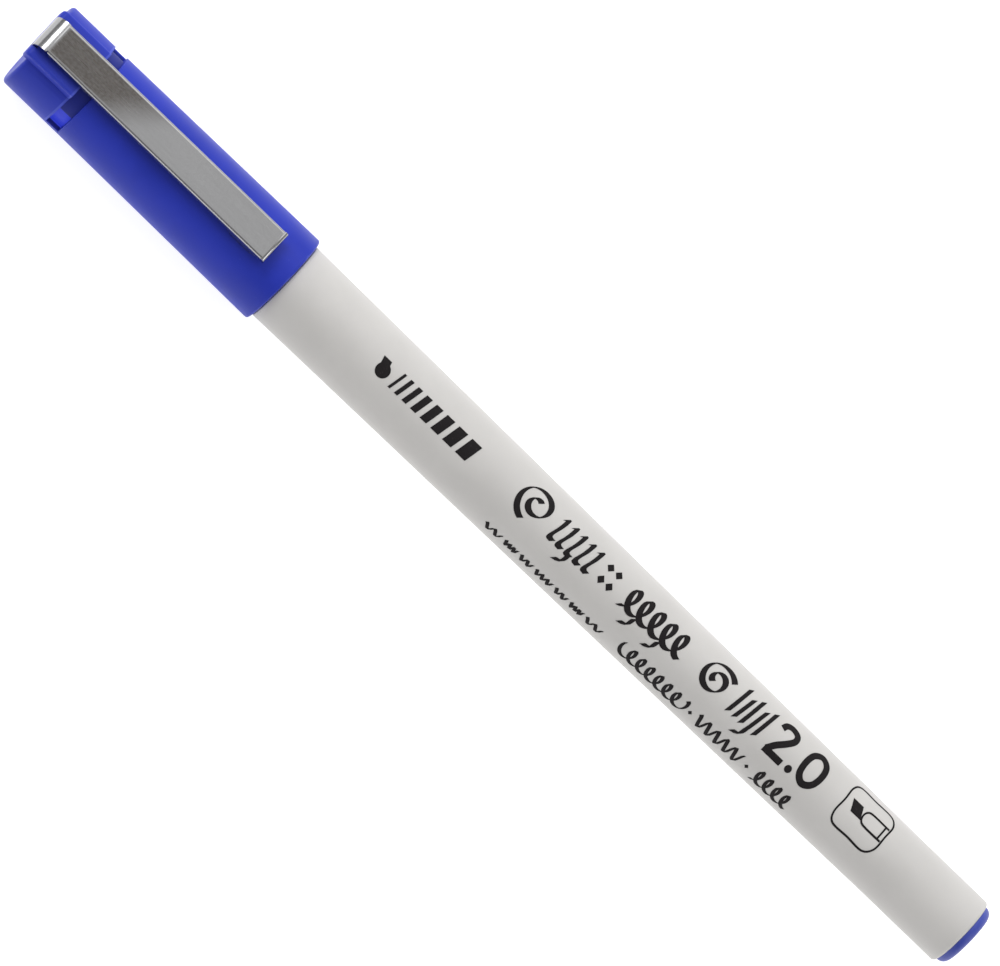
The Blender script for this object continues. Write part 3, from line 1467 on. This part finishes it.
@dataclass
class BarrelPrint:
    """The black prints along the barrel. They are pen strokes and signs, without any words."""

    body: PenBody
    broad: Nib = Nib(0.66, hair=0.15)
    thin: Nib = Nib(0.42)
    dash: Nib = Nib(0.40)
    figure: Nib = Nib(0.0, 0.0, 0.72)
    liner: Nib = Nib(0.0, 0.0, 0.21)
    bar_hair: float = 0.05
    small_dot: float = 0.26
    diamond: int = 4

    def gauge(self) -> Sheet:
        """An ink drop and a row of slanted strokes that grow wider."""
        sheet = Sheet("print_gauge")
        sheet.dot((1.15, -0.25), 0.85)
        sheet.stroke(Nib(1.1, 0.0, self.bar_hair), Trail.through((1.0, 0.1), (0.75, 1.0)))
        place, lean, gap, half_height = 2.9, 0.45, 0.62, 1.1
        thinnest, growth = 0.32, 0.16
        for count in range(8):
            width = thinnest + growth * count
            place += width / 2
            sheet.stroke(Nib(width, 0.0, self.bar_hair), Trail.through(
                (place - lean / 2, -half_height), (place + lean / 2, half_height)))
            place += width / 2 + gap
        return sheet

    def flourish(self) -> Sheet:
        """A line of broad-nib practice strokes between two curls."""
        sheet = Sheet("print_flourish")
        nib = self.broad
        sheet.stroke(nib, Trail.spiral((2.6, 0.2), (0.5, 2.4), (60.0, 620.0), 0.86))
        for count in range(5):
            left = 5.9 + 1.25 * count
            sheet.stroke(nib, Trail.through((left, 1.0), (left + 0.35, 1.35), (left + 0.2, 0.2),
                                            (left - 0.15, -1.1), (left + 0.45, -1.3)))
        for count in range(2):
            for height in (0.8, -0.7):
                sheet.dot((12.9 + 1.2 * count, height), 0.48, self.diamond)
        sheet.stroke(nib, Trail.roll((16.0, 0.0), 8.6, (0.8, 1.2), 5.0, 180.0))
        sheet.stroke(nib, Trail.spiral((29.2, 0.1), (0.45, 2.1), (240.0, -330.0), 0.9))
        for count in range(5):
            left = 32.5 + 0.95 * count
            tall = 1.35 if count % 2 else 2.0
            sheet.stroke(nib, Trail.through((left - 0.25, -1.3), (left + 0.3, tall)))
        for left in (8.2, 17.9, 21.4, 34.6):
            sheet.stroke(nib, Trail.through(
                (left + 0.5, -1.2), (left + 0.25, -2.1), (left - 0.6, -2.35)))
        return sheet

    def size_number(self) -> Sheet:
        """The width of the nib in millimetres, in plain figures."""
        sheet = Sheet("print_size_number")
        nib = self.figure
        sheet.stroke(nib, Trail.through(
            (0.35, 0.95), (0.62, 1.55), (1.35, 1.78), (2.15, 1.5), (2.3, 0.8), (1.75, 0.0),
            (0.95, -0.85), (0.36, -1.72)))
        sheet.stroke(nib, Trail.through((0.12, -1.76), (2.68, -1.76)))
        sheet.dot((3.65, -1.66), 0.41)
        sheet.stroke(nib, Trail.through(
            (5.75, 1.76), (4.85, 1.2), (4.58, 0.0), (4.85, -1.2), (5.75, -1.76), (6.65, -1.2),
            (6.92, 0.0), (6.65, 1.2), closed=True), closed=True)
        return sheet

    def nib_symbol(self) -> Sheet:
        """A chisel nib in its holder, drawn in a rounded square."""
        sheet = Sheet("print_nib_symbol")
        side, start, middle, end, inset = 2.32, 0.1, 3.0, 6.0, 0.85
        sheet.stroke(self.liner, Trail.through(
            (inset, side), (middle, side), (end - inset, side), (end, side - inset), (end, 0.0),
            (end, inset - side), (end - inset, -side), (middle, -side), (inset, -side),
            (start, inset - side), (start, 0.0), (start, side - inset), closed=True), closed=True)
        sheet.stroke(Nib(1.32, 118.0, 0.1), Trail.through((1.05, 0.13), (2.5, 0.13)))
        sheet.stroke(self.liner, Trail.through(
            (5.9, 0.81), (3.6, 0.81), (2.95, 0.62), (2.72, 0.09), (2.95, -0.44), (3.6, -0.63),
            (5.9, -0.63)))
        sheet.stroke(self.liner, Trail.through((5.45, 0.78), (5.45, -0.6)))
        return sheet

    def small_waves(self) -> Sheet:
        """A line of small dashes and waves."""
        sheet = Sheet("print_small_waves")
        place, gap, swing = 0.2, 0.55, 0.38
        for count in range(7):
            length = 1.7 if count % 3 else 2.3
            sheet.stroke(self.dash, Trail.roll((place, 0.0), length, (0.0, swing), 2.0 + count % 2))
            place += length + gap
        return sheet

    def small_script(self) -> Sheet:
        """A thin looping practice line with dots."""
        sheet = Sheet("print_small_script")
        sheet.stroke(self.thin, Trail.roll((0.6, 0.0), 9.0, (0.55, 0.75), 7.0))
        sheet.dot((10.6, 0.0), self.small_dot, self.diamond)
        sheet.stroke(self.thin, Trail.roll((11.6, 0.0), 6.4, (0.0, 0.7), 5.0))
        sheet.dot((18.9, 0.0), self.small_dot, self.diamond)
        sheet.stroke(self.thin, Trail.roll((20.0, 0.0), 4.9, (0.5, 0.8), 4.0, 180.0))
        return sheet

    def make(self) -> None:
        """Draws every print and wraps it on the barrel."""
        for sheet, station, angle, tall in (
                (self.gauge(), 49.5, -7.0, 1.05),
                (self.flourish(), 69.8, 1.0, 1.12),
                (self.size_number(), 107.4, 6.0, 1.10),
                (self.nib_symbol(), 117.6, 8.0, 1.20),
                (self.small_waves(), 69.7, -68.0, 1.2),
                (self.small_script(), 88.9, -60.0, 1.3)):
            piece = sheet.wrap(station, angle, self.body.barrel_radius, tall)
            dress(piece, "pen", self.body.finishes.ink)


# ------------------------------------------------------------------ studio


@dataclass(frozen=True)
class Softbox:
    """A soft studio lamp that points at the pen."""

    name: str
    azimuth: float
    elevation: float
    distance: float
    size: Point2
    power: float

    def place(self, aim: Vector) -> None:
        """Adds the lamp, aimed at a point."""
        turn, rise = math.radians(self.azimuth), math.radians(self.elevation)
        away = Vector((math.sin(turn) * math.cos(rise), -math.cos(turn) * math.cos(rise),
                       math.sin(rise)))
        lamp = bpy.data.lights.new(self.name, "AREA")
        lamp.shape = "RECTANGLE"
        lamp.size, lamp.size_y = self.size
        lamp.energy = self.power
        stand = bpy.data.objects.new(self.name, lamp)
        stand.location = aim + away * self.distance
        stand.rotation_euler = (-away).to_track_quat("-Z", "Y").to_euler()
        bpy.context.scene.collection.objects.link(stand)


@dataclass(frozen=True)
class Studio:
    """The pale floor, the lamps, the surrounding light and the camera."""

    elevation: float = 75.0
    yaw: float = 5.0
    roll: float = 43.93
    camera_distance: float = 2.0
    sensor: float = 36.0
    frame_width: float = 105.92
    aim_station: float = 68.30
    aim_rise: float = 0.42
    surround_front: float = 0.28
    surround_back: float = 0.48
    floor_size: float = 6.0
    floor_glow: float = 0.86
    floor_tones: tuple[Paint, Paint] = (colour(0.50, 0.50, 0.50), colour(0.52, 0.52, 0.52))
    middle: float = 69.0
    lamps: tuple[Softbox, ...] = (
        Softbox("key_softbox", 178.0, 45.0, 1.5, (1.8, 1.1), 7.5),
        Softbox("low_strip", 2.0, 10.0, 1.2, (1.4, 0.10), 1.2),
        Softbox("top_panel", 180.0, 76.0, 1.6, (1.6, 1.6), 3.4),
        Softbox("cap_end_strip", 248.0, 47.0, 1.2, (0.5, 0.45), 5.0),
        Softbox("tail_end_strip", 90.0, 24.0, 1.2, (0.5, 0.4), 2.0),
    )

    def make_floor(self) -> None:
        """Lays a wide pale floor under the pen."""
        Bench.clear()
        bpy.ops.mesh.primitive_plane_add(size=self.floor_size, location=(0.0, 0.0, 0.0))
        floor = Bench.started("studio_floor")
        material = bpy.data.materials.new("pale_paper")
        material.use_nodes = True
        mixer = Mixer(material.node_tree)
        shader = material.node_tree.nodes["Principled BSDF"]
        shader.inputs["Roughness"].default_value = 0.9
        shader.inputs["Specular IOR Level"].default_value = 0.2
        tone = mixer.map(mixer.noise(mixer.place(), 9.0, 4.0), 0.3, 0.7)
        paper = mixer.mix(tone, *self.floor_tones)
        mixer.tree.links.new(paper, shader.inputs["Base Color"])
        shader.inputs["Emission Color"].default_value = colour(1.0, 1.0, 1.0)
        shader.inputs["Emission Strength"].default_value = self.floor_glow
        floor.data.materials.append(material)

    def make_light(self, aim: Vector) -> None:
        """Sets the surrounding light and the lamps."""
        world = bpy.data.worlds.new("studio_surround")
        bpy.context.scene.world = world
        world.use_nodes = True
        mixer = Mixer(world.node_tree)
        direction = mixer.add("TexCoord").outputs["Generated"]
        axes = mixer.add("SeparateXYZ", {"Vector": direction}).outputs
        inputs = {"Value": axes["Y"], "From Min": -1.0, "From Max": 1.0,
                  "To Min": self.surround_front, "To Max": self.surround_back}
        glow = mixer.add("MapRange", inputs).outputs["Result"]
        background = world.node_tree.nodes["Background"]
        background.inputs["Color"].default_value = colour(1.0, 1.0, 1.0)
        mixer.tree.links.new(glow, background.inputs["Strength"])
        for lamp in self.lamps:
            lamp.place(aim)

    def make_camera(self) -> None:
        """Places the camera, looking steeply down across the pen and rolled to its slant."""
        rise, yaw = math.radians(self.elevation), math.radians(self.yaw)
        away = Vector((-math.sin(yaw), -math.cos(yaw) * math.cos(rise),
                       math.cos(yaw) * math.sin(rise)))
        along = (Vector((1.0, 0.0, 0.0)) - away * away.x).normalized()
        upward = away.cross(along)
        roll = math.radians(self.roll)
        right = along * math.cos(roll) + upward * math.sin(roll)
        up = upward * math.cos(roll) - along * math.sin(roll)
        aim = PEN.at(self.aim_station) + upward * self.aim_rise * MM
        lens = bpy.data.cameras.new("studio_camera")
        lens.sensor_width = self.sensor
        lens.lens = self.sensor * self.camera_distance / (self.frame_width * MM)
        camera = bpy.data.objects.new("studio_camera", lens)
        turned = Matrix((right, up, away)).transposed().to_4x4()
        camera.matrix_world = Matrix.Translation(aim + away * self.camera_distance) @ turned
        bpy.context.scene.collection.objects.link(camera)
        bpy.context.scene.camera = camera

    def make(self) -> None:
        """Sets the whole studio up."""
        self.make_floor()
        self.make_light(PEN.at(self.middle))
        self.make_camera()
        bpy.context.scene.view_settings.view_transform = "Standard"


# ------------------------------------------------------------------ everything


def main() -> None:
    """Builds the studio and every piece, and notes the sizes before and after."""
    logging.basicConfig(level=logging.INFO, format="%(message)s")
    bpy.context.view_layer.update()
    finishes = Finishes()
    Studio().make()
    body = PenBody(finishes)
    body.make()
    BarrelPrint(body).make()
    Cap(finishes).make()
    PocketClip(finishes).make()
    Bench.clear()


if __name__ == "__main__":
    main()
